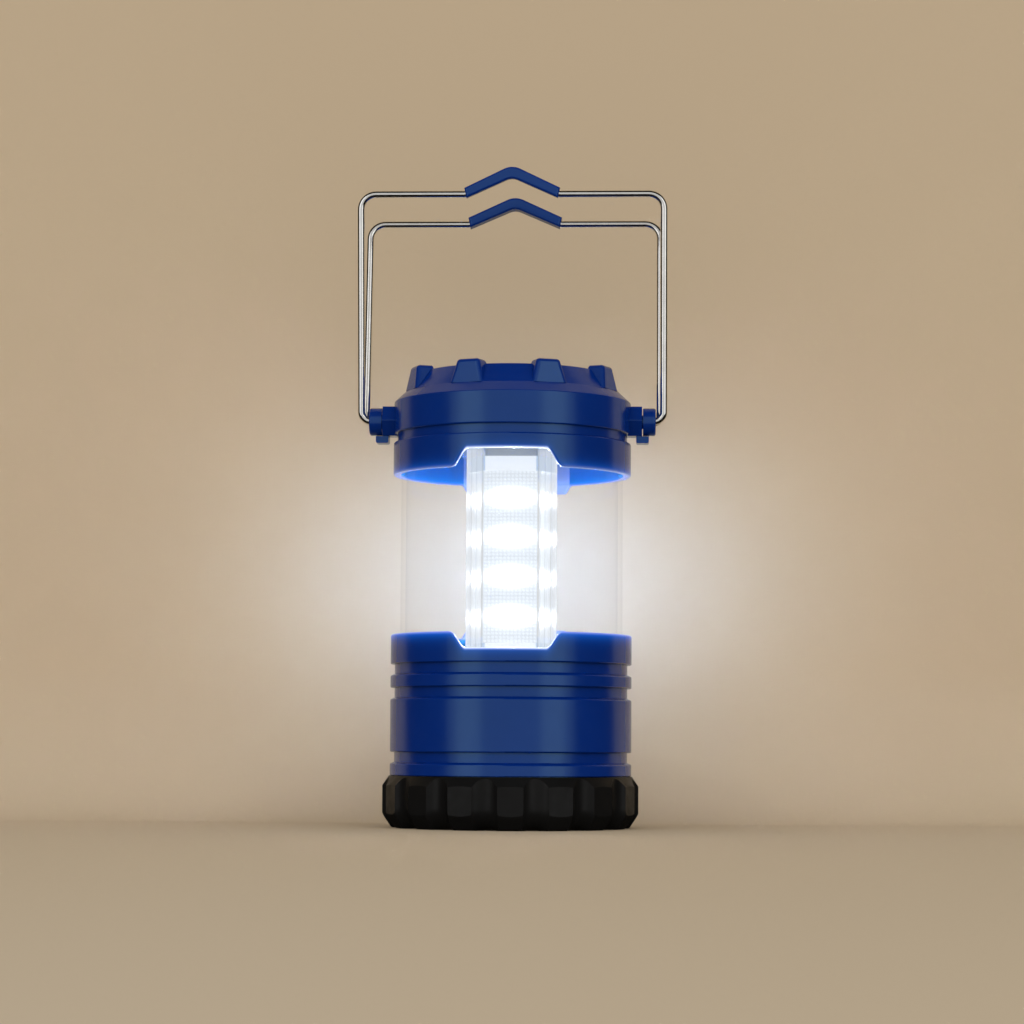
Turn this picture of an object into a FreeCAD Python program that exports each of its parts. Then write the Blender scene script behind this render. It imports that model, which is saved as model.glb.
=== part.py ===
import FreeCAD, Part
import math
import os

from FreeCAD import Vector

# Collapsible LED camping lantern, built from its separate pieces, in millimetres.
# It stands on z = 0 with +Z up and its front window towards -Y. The head (cap, clear tube and LED column)
# is drawn fully up. It slides straight down into the body to collapse.

Z_AXIS = Vector(0, 0, 1)
Y_AXIS = Vector(0, 1, 0)
X_AXIS = Vector(1, 0, 0)
ORIGIN = Vector(0, 0, 0)

# Fits between pieces
slide_gap = 0.3          # clear tube in the body shell, on the radius
guide_gap = 0.4          # LED column and deck against what slides past them
foot_gap = 0.3           # column foot in its guide
seat_gap = 0.1           # glued, clipped or pressed seats
pin_gap = 0.05           # wire ends in the pivot knobs, on the radius
turn_gap = 0.4           # twist-off cover on the neck, on the radius
cell_gap = 0.3           # cell in its bay, on the radius
seam_gap = 0.15          # body above the twist-off cover
edge_break = 0.3         # small rounds on moulded edges
rim_round = 0.7          # rounds of the two open rims
overcut = 1.0            # how far a cutter runs past the face that it opens
touch = 1e-4             # how close an edge lies to the face that it is picked by

# Cells: three AA in bays round the LED column
cell_diameter = 14.2
cell_length = 50.5
cell_nub_diameter = 5.4
cell_nub_height = 1.0
cell_edge_round = 0.6
cell_bottom = 8.0
cell_count = 3

# Clear tube
tube_wall = 1.8
tube_hidden = 1.9        # how far the tube reaches below the foot of the front window
tube_edge_round = 0.4

# Body shell
body_radius = 43.1
body_wall = 3.0          # from the bore that the tube slides in to the bands
groove_depth = 1.5
groove_width = 4.2
rim_band = 10.6          # plain band from the rim down to the first groove
ring_band = 4.2          # raised ring between the two upper grooves
foot_band = 4.2          # raised ring under the lowest groove
band_round = 0.5
groove_slope = 0.7       # run of the sloped lower side of each groove
neck_wall = 1.1
neck_ledge = 0.9         # seat of the core's flange inside the neck
neck_bottom = 6.4

# Front windows and rear tabs of the two rims
window_gap = 57.1        # from the body's rim up to the skirt's rim
rim_notch_depth = 5.7
rim_notch_top = 37.2
rim_notch_bottom = 29.4
skirt_notch_height = 6.3
skirt_notch_bottom = 36.6
skirt_notch_top = 29.0
notch_round = 3.0
rear_tab_rise = 3.2
rear_tab_drop = 3.0
rear_tab_root = 40.4     # where the tab leaves the rim
rear_tab_tip = 36.8
tab_round = 1.2

# Battery core
deck_thickness = 1.6
deck_clear = 0.2         # deck top below the foot of the front window
bay_wall = 1.2
bay_roof = 2.0
guide_wall = 1.3
guide_floor = 1.0
flange_lift = 0.6        # flange above the lower ends of the cells
flange_thickness = 2.0
contact_thickness = 0.4
contact_diameter = 11.0
contact_gap = 0.1
strip_width = 5.0
strip_height = 6.0
strip_thickness = 0.3

# LED column
face_apothem = 12.9      # axis to the three lit faces of the clear cover
corner_apothem = 15.3    # axis to the three ribbed corner faces
column_wall = 1.0
rib_width = 0.8
rib_height = 0.5
rib_spacing = 4.0
foot_lip = 1.4
foot_height = 2.8
lower_collar_height = 4.6
lower_collar_flange = 1.2
upper_collar_height = 5.2
collar_headroom = 3.3    # upper collar below the skirt's ceiling
diffuser_width = 20.4
diffuser_bulge = 1.6
diffuser_wall = 0.9
diffuser_gap = 0.3
core_face = 6.0
core_corner = 10.5
core_screw_bite = 9.0
board_width = 16.0
board_thickness = 1.0
chip_size = 5.0
chip_height = 1.6
chip_pitch = 14.2
chip_rows = 4
wiper_width = 4.6
wiper_thickness = 0.2

# Cap skirt and top cap
skirt_wall = 2.8         # round the seat of the clear tube
skirt_height = 11.7
ceiling_thickness = 2.0
band_inset = 1.4         # recessed band between skirt and cap
band_height = 3.2
spigot_height = 4.0
spigot_wall = 1.6
ring_inset = 0.1         # cap's ring inside the skirt's side
ring_height = 11.4
cap_wall = 2.2
shoulder_inset = 3.9     # top of the shoulder inside the ring
shoulder_height = 3.6
dome_inset = 5.7         # top of the dome inside the shoulder
dome_height = 7.0
lug_count = 8
lug_rise = 1.5
lug_foot_width = 13.0
lug_top_width = 8.4
lug_draft = 1.3
lug_length = 9.7         # along the radius, at the foot
lug_inner_slope = 3.0
lug_round = 1.5
cap_edge_round = 0.5
crown_inset = 13.0       # shallow round dish inside the dome's top edge
crown_depth = 0.8
boss_diameter = 7.0
boss_inset = 10.0        # bosses inside the tube's bore
screw_diameter = 2.6
screw_head_diameter = 5.0
screw_head_height = 1.8
screw_head_round = 0.6
screw_recess = 0.9
screw_slot = 0.8
screw_slot_length = 3.0
screw_bite = 7.0
pilot_gap = 0.05

# Driver board on the ceiling
driver_width = 22.0
driver_length = 16.0
driver_thickness = 1.2
driver_stand = 2.2
driver_post = 3.0
driver_part_offset = 4.0  # resistor and chip either side of the board's middle
resistor_diameter = 2.6
resistor_length = 7.0
driver_chip_side = 5.0
driver_chip_height = 1.5

# Handle pivots
pivot_drop = 6.5         # pivot axis below the top edge of the cap's ring
pivot_spread = 4.7       # front pivot to rear pivot
hub_reach = 4.1          # outer face of the hub beyond the cap's ring
hub_half_height = 5.3
hub_half_length = 6.6
hub_flat = 3.6
hub_round = 0.4
knob_gap = 0.3
knob_width = 4.6
knob_radius = 5.0
knob_round = 0.8
countersink_radius = 1.8
countersink_depth = 1.3
spigot_diameter = 5.0
spigot_flat = 3.6        # across the two flats that the clip straddles
spigot_length = 4.6
clip_thickness = 0.8
clip_inset = 0.7         # clip slot behind the hub's outer face
clip_head_width = 4.6
clip_head_height = 2.5
clip_head_length = 6.4
clip_head_round = 0.7
clip_arm = 1.4

# Wire handles
wire_diameter = 2.6
front_leg_reach = 2.8    # middle of the legs beyond the knobs
front_bar_height = 81.5
front_foot_bend = 3.4
front_lean = 7.2
rear_leg_reach = 1.5
rear_bar_height = 74.9
rear_foot_bend = 2.1
rear_lean = 7.2
bail_corner = 5.5
pin_length = 3.0
wire_peak_round = 4.0    # of the wire inside the grip
wire_bend = 2.4          # where the wire turns up into the grip
wire_slope = 25.0
grip_half_width = 16.8
grip_end_slant = 0.4     # how far each end leans out at its top
grip_end_rise = 2.2      # end of the grip above the middle of the wire
grip_end_drop = 1.5
grip_upper_slope = 25.5
grip_lower_slope = 24.0
grip_upper_round = 6.8
grip_lower_round = 5.0
grip_depth = 4.3
grip_round = 0.9

# Twist-off base cover
cover_height = 18.3
cover_wall = 3.0         # from the bore round the neck to the flat lands between the flutes
cover_floor = 2.4
cover_inner_chamfer = 3.6
cover_chamfer_drop = 3.9
cover_top_lip = 0.3      # how far the cover's top edge stands proud of the body
cover_foot_inset = 3.1   # edge of the bottom inside the lands
cover_foot_rise = 5.4
cover_foot_bend = 7.0    # round between the side and the sloped foot
cover_foot_edge = 1.4    # round between the sloped foot and the bottom
flute_count = 16
flute_depth = 1.8
flute_turn = 2.7         # how far the front land stands round to the right of the window
flute_foot_start = 7.5   # height at which the flutes begin to turn in under the foot
flute_foot_bend = 7.3    # of the floor of a flute
land_width = 9.0
seal_diameter = 0.9
seal_height = 13.0
hook_inset = 7.8         # inner face of the hooks inside the neck's bore
hook_wall = 2.0
hook_reach = 1.6
hook_head = 1.6
hook_half_angle = 4.0
hook_gap = 0.2
hook_slack_angle = 1.0
unlock_angle = 35.0
board_margin = 2.2       # contact board inside the hooks
cover_board_thickness = 1.2
leaf_width = 4.4
leaf_length = 11.0
leaf_thickness = 0.3
leaf_gap = 0.1
leaf_tip_length = 2.2
stake_inset = 5.0        # heat stakes inside the board's edge
stake_diameter = 2.4
stake_rise = 0.5

# Heights and radii worked out from the sizes above
cell_top = cell_bottom + cell_length
bay_top = cell_top + contact_gap + contact_thickness
deck_under = bay_top + bay_roof
deck_top = deck_under + deck_thickness
rim_z = deck_top + deck_clear + rim_notch_depth
skirt_rim_z = rim_z + window_gap
ceiling_top = skirt_rim_z + skirt_height
ceiling_under = ceiling_top - ceiling_thickness
ring_bottom = ceiling_top + band_height
ring_top = ring_bottom + ring_height
shoulder_top = ring_top + shoulder_height
dome_top = shoulder_top + dome_height
lug_top = dome_top + lug_rise
pivot_z = ring_top - pivot_drop
tube_bottom = deck_top + deck_clear - tube_hidden
shell_bore = body_radius - body_wall
tube_radius = shell_bore - slide_gap
tube_bore = tube_radius - tube_wall
neck_bore = shell_bore + neck_ledge
neck_radius = neck_bore + neck_wall
cover_bore = neck_radius + turn_gap
cover_radius = cover_bore + cover_wall
cover_foot_radius = cover_radius - cover_foot_inset
land_corner = math.hypot(cover_radius, land_width / 2)
bowl_radius = land_corner + edge_break
flange_bottom = cell_bottom + flange_lift
flange_top = flange_bottom + flange_thickness
foot_top = deck_under - seat_gap
foot_bottom = foot_top - foot_height
guide_face = face_apothem + foot_lip + foot_gap
guide_corner = corner_apothem + foot_lip + foot_gap
bay_bore = cell_diameter / 2 + cell_gap
cell_circle = guide_face + guide_wall + bay_bore
diffuser_bottom = foot_top + lower_collar_height
diffuser_top = ceiling_under - collar_headroom - upper_collar_height
skirt_seat = tube_radius + seat_gap
skirt_radius = skirt_seat + skirt_wall
band_radius = skirt_radius - band_inset
ring_radius = skirt_radius - ring_inset
shoulder_radius = ring_radius - shoulder_inset
dome_top_radius = shoulder_radius - dome_inset
crown_radius = dome_top_radius - crown_inset
lug_inner = shoulder_radius - lug_length
boss_circle = tube_bore - boss_inset
hub_face = ring_radius + hub_reach
knob_inner = hub_face + knob_gap
knob_face = knob_inner + knob_width
front_leg_x = knob_face + front_leg_reach
rear_leg_x = knob_face + rear_leg_reach
clip_x = hub_face - clip_inset - clip_thickness
hook_radius = neck_bore - hook_inset
board_radius = hook_radius - board_margin
stake_circle = board_radius - stake_inset
slot_outer = hook_radius + hook_wall + hook_gap
slot_wide = slot_outer + hook_reach
body_bottom = cover_height + seam_gap

# The three lit faces look to the front and to the two rear sides. The corners lie between them.
FACE_ANGLES = [-90 + 360 / cell_count * k for k in range(cell_count)]
CORNER_ANGLES = [angle + 180 / cell_count for angle in FACE_ANGLES]
SIDES = {"left": -1, "right": 1}


# Helpers for outlines and solids

def rounded_edges(corners, place):
    """Edges of a closed outline. Each corner is (u, v) or (u, v, radius); place turns (u, v) into a point."""
    count = len(corners)
    starts, ends, mids = [], [], []
    for i, corner in enumerate(corners):
        here = Vector(corner[0], corner[1], 0)
        before = Vector(*corners[i - 1][:2], 0) - here
        after = Vector(*corners[(i + 1) % count][:2], 0) - here
        radius = corner[2] if len(corner) > 2 else 0
        if radius <= 0:
            starts.append(here)
            ends.append(here)
            mids.append(None)
            continue
        half = before.getAngle(after) / 2
        before.normalize()
        after.normalize()
        reach = radius / math.tan(half)
        bisector = before + after
        bisector.normalize()
        centre = here + bisector * (radius / math.sin(half))
        starts.append(here + before * reach)
        ends.append(here + after * reach)
        mids.append(centre - bisector * radius)
    edges = []
    for i in range(count):
        if mids[i] is not None:
            edges.append(Part.Arc(place(starts[i]), place(mids[i]), place(ends[i])).toShape())
        leave, arrive = place(ends[i]), place(starts[(i + 1) % count])
        if leave.distanceToPoint(arrive) > touch:
            edges.append(Part.LineSegment(leave, arrive).toShape())
    return edges


def outline_face(corners, place):
    """Flat face inside such an outline."""
    return Part.Face(Part.Wire(rounded_edges(corners, place)))


def turned(corners):
    """Solid of revolution about Z from (radius, height) corners."""
    face = outline_face(corners, lambda p: Vector(p.x, 0, p.y))
    return face.revolve(ORIGIN, Z_AXIS, 360)


def upright(corners, bottom, top):
    """Prism along Z from (x, y) corners."""
    face = outline_face(corners, lambda p: Vector(p.x, p.y, bottom))
    return face.extrude(Vector(0, 0, top - bottom))


def front_prism(corners, near, far):
    """Prism along Y from (x, z) corners, from y = near to y = far."""
    face = outline_face(corners, lambda p: Vector(p.x, near, p.y))
    return face.extrude(Vector(0, far - near, 0))


def side_prism(corners, inner, outer):
    """Prism along X from (y, z) corners, from x = inner to x = outer."""
    face = outline_face(corners, lambda p: Vector(inner, p.x, p.y))
    return face.extrude(Vector(outer - inner, 0, 0))


def disc(radius, bottom, top, x=0.0, y=0.0):
    return Part.makeCylinder(radius, top - bottom, Vector(x, y, bottom), Z_AXIS)


def pipe(outer, inner, bottom, top):
    return disc(outer, bottom, top).cut(disc(inner, bottom, top))


def hexagon(face, corner):
    """Corners of the column's six-sided plan, from the apothems of its lit faces and of its corner faces."""
    normals = []
    for k in range(cell_count):
        normals.append((math.radians(FACE_ANGLES[k]), face))
        normals.append((math.radians(CORNER_ANGLES[k]), corner))
    points = []
    for (a, p), (b, q) in zip(normals, normals[1:] + normals[:1]):
        det = math.cos(a) * math.sin(b) - math.sin(a) * math.cos(b)
        x = (p * math.sin(b) - q * math.sin(a)) / det
        y = (q * math.cos(a) - p * math.cos(b)) / det
        points.append((x, y))
    return points


def around(shape, angle):
    """Copy of a shape turned about the lantern's axis, in degrees."""
    turned_copy = shape.copy()
    turned_copy.rotate(ORIGIN, Z_AXIS, angle)
    return turned_copy


def on_face(angle, radial, tangential=0.0):
    """Point in plan at a distance from the axis along an angle, then sideways."""
    a = math.radians(angle)
    return (radial * math.cos(a) - tangential * math.sin(a), radial * math.sin(a) + tangential * math.cos(a))


def face_block(angle, near, far, width, bottom, top, shift=0.0):
    """Block standing on a face of the column: from near to far along its angle, shifted sideways."""
    low, high = shift - width / 2, shift + width / 2
    plan = [on_face(angle, near, low), on_face(angle, far, low), on_face(angle, far, high),
            on_face(angle, near, high)]
    return upright(plan, bottom, top)


def fused(shapes):
    first, rest = shapes[0], shapes[1:]
    return first.multiFuse(rest).removeSplitter() if rest else first


def on_side(shape, side):
    """A right-hand piece as it is, or its mirror image on the left."""
    return shape if side > 0 else shape.mirror(ORIGIN, X_AXIS)


def export(name, shapes):
    solids = shapes if isinstance(shapes, list) else [shapes]
    shape = solids[0] if len(solids) == 1 else Part.makeCompound(solids)
    shape.exportStep(os.path.join("parts", name + ".step"))
    print(name, "solids", len(shape.Solids), "volume", round(shape.Volume, 2), "valid", shape.isValid())


def screw(x, y, seat, bite, direction):
    """Pan-head screw with a cross recess. Its head lies on seat; direction is 1 for a shank that points up."""
    head = disc(screw_head_diameter / 2, -screw_head_height, 0)
    rim = [e for e in head.Edges if e.BoundBox.ZMax < -screw_head_height + touch]
    head = head.makeFillet(screw_head_round, rim)
    for turn in (0, 90):
        slot = Part.makeBox(screw_slot_length, screw_slot, screw_recess,
                            Vector(-screw_slot_length / 2, -screw_slot / 2, -screw_head_height))
        head = head.cut(around(slot, turn))
    solid = head.fuse(disc(screw_diameter / 2, 0, bite)).removeSplitter()
    if direction < 0:
        solid.rotate(ORIGIN, X_AXIS, 180)
    solid.translate(Vector(x, y, seat))
    return solid


# Base: body shell, battery core, cells and contacts

def step_outline(rim, rim_width, level, level_width, away, corner_round):
    """Cutter in the front plane that leaves a rim with one rounded step in it, for a notch or for a tab."""
    reach = 2 * body_radius
    return [(-reach, away), (-reach, rim), (-rim_width / 2, rim, corner_round),
            (-level_width / 2, level, corner_round), (level_width / 2, level, corner_round),
            (rim_width / 2, rim, corner_round), (reach, rim), (reach, away)]


def open_rim(tall, radii, rim, foot, tip, notch_widths):
    """Cuts a tall wall back to its rim, with a notch in front and a tab at the rear, and rounds the rim."""
    reach = 2 * body_radius
    away = 2 * tip - rim
    notch = step_outline(rim, notch_widths[0], foot, notch_widths[1], away, notch_round)
    tab = step_outline(rim, rear_tab_root, tip, rear_tab_tip, away, tab_round)
    solid = tall.cut(front_prism(notch, -reach, 0)).cut(front_prism(tab, 0, reach)).removeSplitter()
    low, high = min(foot, tip) - touch, max(foot, tip) + touch
    for radius in radii:
        edges = [e for e in solid.Edges if e.BoundBox.ZMin > low and e.BoundBox.ZMax < high
                 and all(abs(math.hypot(p.x, p.y) - radius) < touch for p in e.discretize(5))]
        solid = solid.makeFillet(rim_round, edges)
    return solid


def body_shell():
    g1_top = rim_z - rim_band
    g2_top = g1_top - groove_width - ring_band
    g3_top = cover_height + foot_band + groove_width
    floor_radius = body_radius - groove_depth
    outer = [(neck_radius, neck_bottom, edge_break), (neck_radius, body_bottom),
             (body_radius, body_bottom, edge_break)]
    for top in (g3_top, g2_top, g1_top):
        bottom = top - groove_width
        outer += [(body_radius, bottom, band_round), (floor_radius, bottom + groove_slope),
                  (floor_radius, top), (body_radius, top, band_round)]
    tip = rim_z + rear_tab_rise
    outer += [(body_radius, tip), (shell_bore, tip)]
    inner = [(shell_bore, flange_top), (neck_bore, flange_top), (neck_bore, neck_bottom)]
    return open_rim(turned(outer + inner), (body_radius, shell_bore), rim_z, rim_z - rim_notch_depth, tip,
                    (rim_notch_top, rim_notch_bottom))


def hook_slot(angle):
    """Key slot in the core's flange: a hook enters at the wide end and is turned back to the narrow end."""
    margin = hook_half_angle + hook_slack_angle
    low, high = flange_bottom - overcut, flange_top + overcut
    parts = []
    for outer, start, end in ((slot_outer, -margin, unlock_angle + margin),
                              (slot_wide, unlock_angle - margin, unlock_angle + margin)):
        ring = pipe(outer, hook_radius - hook_gap, low, high)
        wedge = Part.makeCylinder(outer + overcut, high - low, Vector(0, 0, low), Z_AXIS, end - start)
        parts.append(ring.common(around(wedge, angle + start)))
    return fused(parts)


def battery_core():
    deck = disc(tube_bore - guide_gap, deck_under, deck_top)
    guide = upright(hexagon(guide_face + guide_wall, guide_corner + guide_wall), flange_bottom - guide_floor,
                    deck_under)
    flange = disc(neck_bore - seat_gap, flange_bottom, flange_top)
    bays, bores = [], []
    for angle in FACE_ANGLES:
        x, y = on_face(angle, cell_circle)
        bays.append(disc(bay_bore + bay_wall, flange_bottom, deck_under, x, y))
        bores.append(disc(bay_bore, flange_bottom - guide_floor - overcut, bay_top, x, y))
    solid = fused([deck, guide, flange] + bays)
    well = upright(hexagon(guide_face, guide_corner), flange_bottom, deck_under)
    opening = upright(hexagon(face_apothem + guide_gap, corner_apothem + rib_height + guide_gap), deck_under,
                      deck_top)
    slots = [hook_slot(angle) for angle in CORNER_ANGLES]
    return solid.cut(Part.makeCompound([well, opening] + bores + switch_strips() + slots)).removeSplitter()


def cell(angle, nub_up):
    x, y = on_face(angle, cell_circle)
    low = cell_bottom if nub_up else cell_bottom + cell_nub_height
    high = low + cell_length - cell_nub_height
    can = disc(cell_diameter / 2, low, high, x, y)
    rims = [e for e in can.Edges if e.BoundBox.ZLength < touch]
    can = can.makeFillet(cell_edge_round, rims)
    nub_low, nub_high = (high, cell_top) if nub_up else (cell_bottom, low)
    return can.fuse(disc(cell_nub_diameter / 2, nub_low, nub_high, x, y)).removeSplitter()


def top_contacts():
    plates = []
    for angle in FACE_ANGLES:
        x, y = on_face(angle, cell_circle)
        plates.append(disc(contact_diameter / 2, bay_top - contact_thickness, bay_top, x, y))
    return plates


def switch_strips():
    """Contact strips let into two corner faces of the guide, just under the deck."""
    return [face_block(angle, guide_corner, guide_corner + strip_thickness, strip_width,
                       deck_under - strip_height, deck_under) for angle in CORNER_ANGLES[:2]]


# Head: LED column

def column_cover():
    outer = upright(hexagon(face_apothem, corner_apothem), foot_top, ceiling_under)
    bore = upright(hexagon(face_apothem - column_wall, corner_apothem - column_wall), foot_top, ceiling_under)
    ribs = []
    for angle in CORNER_ANGLES:
        for shift in (-rib_spacing / 2, rib_spacing / 2):
            ribs.append(face_block(angle, corner_apothem - column_wall / 2, corner_apothem + rib_height,
                                   rib_width, foot_top, ceiling_under, shift))
    return fused([outer] + ribs).cut(bore).removeSplitter()


def column_core():
    body = upright(hexagon(core_face, core_corner), foot_top, ceiling_under)
    pilot = screw_diameter / 2 + pilot_gap
    lower = disc(pilot, foot_top, foot_top + core_screw_bite)
    upper = disc(pilot, ceiling_under - core_screw_bite, ceiling_under)
    return body.cut(Part.makeCompound([lower, upper]))


def column_foot():
    plate = upright(hexagon(face_apothem + foot_lip, corner_apothem + foot_lip), foot_bottom, foot_top)
    recess = disc(screw_head_diameter / 2 + seat_gap, foot_bottom, foot_bottom + screw_head_height)
    return plate.cut(recess).cut(disc(screw_diameter / 2 + seat_gap, foot_bottom, foot_top))


def column_screws():
    """One screw up through the foot and one down through the ceiling, both into the core."""
    foot_seat = foot_bottom + screw_head_height
    lower = screw(0, 0, foot_seat, foot_top - foot_seat + core_screw_bite, 1)
    upper = screw(0, 0, ceiling_top, ceiling_thickness + core_screw_bite, -1)
    return [lower, upper]


def wiper_pads():
    """Brass pads on the two corner faces of the foot that run along the contact strips."""
    outer = corner_apothem + foot_lip
    return [face_block(angle, outer, outer + wiper_thickness, wiper_width, foot_bottom, foot_top)
            for angle in CORNER_ANGLES[:2]]


def core_hole(bottom, top):
    return upright(hexagon(core_face + seat_gap, core_corner + seat_gap), bottom, top)


def lower_collar():
    inside = face_apothem - column_wall - seat_gap
    ring = disc(inside, foot_top, diffuser_bottom)
    flange = upright(hexagon(inside, corner_apothem - column_wall - seat_gap), foot_top,
                     foot_top + lower_collar_flange)
    return fused([ring, flange]).cut(core_hole(foot_top, diffuser_bottom))


def upper_collar():
    block = upright(hexagon(face_apothem - column_wall - seat_gap, corner_apothem - column_wall - seat_gap),
                    diffuser_top, diffuser_top + upper_collar_height)
    return block.cut(core_hole(diffuser_top, diffuser_top + upper_collar_height))


def diffuser(angle):
    """Bowed window in front of one LED board, held between the two collars."""
    crown = face_apothem - column_wall - diffuser_gap
    half = diffuser_width / 2
    arcs = []
    for inset in (0, diffuser_wall):
        points = [on_face(angle, crown - diffuser_bulge - inset, -half), on_face(angle, crown - inset),
                  on_face(angle, crown - diffuser_bulge - inset, half)]
        arcs.append([Vector(x, y, diffuser_bottom) for x, y in points])
    (a0, a1, a2), (b0, b1, b2) = arcs
    edges = [Part.Arc(a0, a1, a2).toShape(), Part.LineSegment(a2, b2).toShape(),
             Part.Arc(b2, b1, b0).toShape(), Part.LineSegment(b0, a0).toShape()]
    return Part.Face(Part.Wire(edges)).extrude(Vector(0, 0, diffuser_top - diffuser_bottom))


def led_board(angle):
    far = core_face + board_thickness
    return face_block(angle, core_face, far, board_width, diffuser_bottom, diffuser_top)


def led_chips():
    near = core_face + board_thickness
    middle = (diffuser_bottom + diffuser_top) / 2
    chips = []
    for angle in FACE_ANGLES:
        for row in range(chip_rows):
            z = middle + (row - (chip_rows - 1) / 2) * chip_pitch
            chips.append(face_block(angle, near, near + chip_height, chip_size, z - chip_size / 2,
                                    z + chip_size / 2))
    return chips


# Head: clear tube, skirt, cap and driver board

def clear_tube():
    return turned([(tube_bore, tube_bottom, tube_edge_round), (tube_radius, tube_bottom, tube_edge_round),
                   (tube_radius, ceiling_under), (tube_bore, ceiling_under)])


def boss_places():
    """Screw bosses of the cap, in plan, over the corners of the column."""
    return [on_face(angle, boss_circle) for angle in CORNER_ANGLES]


def driver_posts(bottom, top):
    half_x, half_y = driver_width / 2 - driver_post, driver_length / 2 - driver_post
    return [disc(driver_post / 2, bottom, top, sx * half_x, sy * half_y) for sx in (-1, 1) for sy in (-1, 1)]


def cap_skirt():
    tip = skirt_rim_z - rear_tab_drop
    wall = [(skirt_seat, tip), (skirt_radius, tip), (skirt_radius, ceiling_top, band_round),
            (band_radius, ceiling_top), (band_radius, ring_bottom)]
    spigot = ring_radius - cap_wall - seat_gap
    upper = [(spigot, ring_bottom), (spigot, ring_bottom + spigot_height),
             (spigot - spigot_wall, ring_bottom + spigot_height), (spigot - spigot_wall, ceiling_top)]
    ceiling = [(0, ceiling_top), (0, ceiling_under), (skirt_seat, ceiling_under)]
    shell = open_rim(turned(wall + upper + ceiling), (skirt_radius, skirt_seat), skirt_rim_z,
                     skirt_rim_z + skirt_notch_height, tip, (skirt_notch_bottom, skirt_notch_top))
    posts = driver_posts(ceiling_top, ceiling_top + driver_stand)
    hole = screw_diameter / 2 + seat_gap
    holes = [disc(hole, ceiling_under, ceiling_top, x, y) for x, y in boss_places() + [(0, 0)]]
    return fused([shell] + posts).cut(Part.makeCompound(holes)).removeSplitter()


def lug():
    """Raised grip lug on the dome, drawn on the +X side and lofted from foot to top."""
    sections = []
    for z, width, outer, inner in ((shoulder_top, lug_foot_width, shoulder_radius, lug_inner),
                                   (lug_top, lug_top_width, shoulder_radius - lug_draft,
                                    lug_inner + lug_inner_slope)):
        half = width / 2
        plan = [(inner, -half), (outer, -half), (outer, half), (inner, half), (inner, -half)]
        sections.append(Part.makePolygon([Vector(x, y, z) for x, y in plan]))
    block = Part.makeLoft(sections, True, True)
    bounds = [e.BoundBox for e in block.Edges]
    inner_edge = lug_inner + lug_inner_slope + lug_round
    chosen = [e for e, b in zip(block.Edges, bounds) if b.ZMax > lug_top - touch and b.XMax > inner_edge]
    return block.makeFillet(lug_round, chosen)


def hub_outline():
    """Six-sided hub seen along X, with an edge to the front and one to the rear."""
    low, high = pivot_z - hub_half_height, pivot_z + hub_half_height
    plan = [(-hub_half_length, pivot_z), (-hub_flat, low), (hub_flat, low), (hub_half_length, pivot_z),
            (hub_flat, high), (-hub_flat, high)]
    return [(y, z, hub_round) for y, z in plan]


def top_cap():
    inner_radius = ring_radius - cap_wall
    roof = dome_top - cap_wall
    outside = [(ring_radius, ring_bottom, cap_edge_round), (ring_radius, ring_top, cap_edge_round),
               (shoulder_radius, shoulder_top, cap_edge_round), (dome_top_radius, dome_top, cap_edge_round),
               (crown_radius, dome_top), (crown_radius - crown_depth, dome_top - crown_depth),
               (0, dome_top - crown_depth)]
    crown_under = roof - crown_depth
    inside = [(0, crown_under), (dome_top_radius - cap_wall, crown_under),
              (shoulder_radius - cap_wall, shoulder_top - cap_wall), (inner_radius, ring_top - cap_wall),
              (inner_radius, ring_bottom)]
    shell = turned(outside + inside)
    step = 360 / lug_count
    lugs = [around(lug(), step * (k + 0.5)) for k in range(lug_count)]
    bosses = [disc(boss_diameter / 2, ceiling_top, roof, x, y) for x, y in boss_places()]
    hub = side_prism(hub_outline(), inner_radius + cap_wall / 2, hub_face)
    hubs = [on_side(hub, side) for side in SIDES.values()]
    solid = fused([shell] + lugs + bosses + hubs)
    pilots = [disc(screw_diameter / 2 + pilot_gap, ceiling_top, ceiling_top + screw_bite + overcut, x, y)
              for x, y in boss_places()]
    sockets = []
    for side in SIDES.values():
        bore_end = hub_face - spigot_length - seat_gap
        bore = side_disc(spigot_diameter / 2 + seat_gap, bore_end, hub_face + overcut)
        slot = clip_plate(seat_gap)
        sockets += [on_side(bore, side), on_side(slot, side)]
    return solid.cut(Part.makeCompound(pilots + sockets)).removeSplitter()


def cap_screws():
    return [screw(x, y, ceiling_under, ceiling_thickness + screw_bite, 1) for x, y in boss_places()]


def driver_board():
    low = ceiling_top + driver_stand
    return Part.makeBox(driver_width, driver_length, driver_thickness,
                        Vector(-driver_width / 2, -driver_length / 2, low))


def driver_parts():
    """Dropper resistor and controller chip on the driver board."""
    top = ceiling_top + driver_stand + driver_thickness
    radius = resistor_diameter / 2
    resistor = Part.makeCylinder(radius, resistor_length,
                                 Vector(-resistor_length / 2, driver_part_offset, top + radius), X_AXIS)
    half = driver_chip_side / 2
    chip = Part.makeBox(driver_chip_side, driver_chip_side, driver_chip_height,
                        Vector(-half, -driver_part_offset - half, top))
    return [resistor, chip]


# Head: handle pivots

def side_disc(radius, inner, outer, y=0.0):
    """Cylinder along X at the pivot's height."""
    return Part.makeCylinder(radius, outer - inner, Vector(inner, y, pivot_z), X_AXIS)


def clip_plate(extra):
    """Plate inside the hub that the clip's fork is cut from. extra widens it into the hub's slot."""
    half = spigot_flat / 2 + seat_gap + clip_arm + extra
    low, high = pivot_z - hub_half_height - seat_gap, pivot_z + spigot_diameter / 2 + extra
    return side_prism([(-half, low), (half, low), (half, high), (-half, high)], clip_x - extra,
                      clip_x + clip_thickness + extra)


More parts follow.
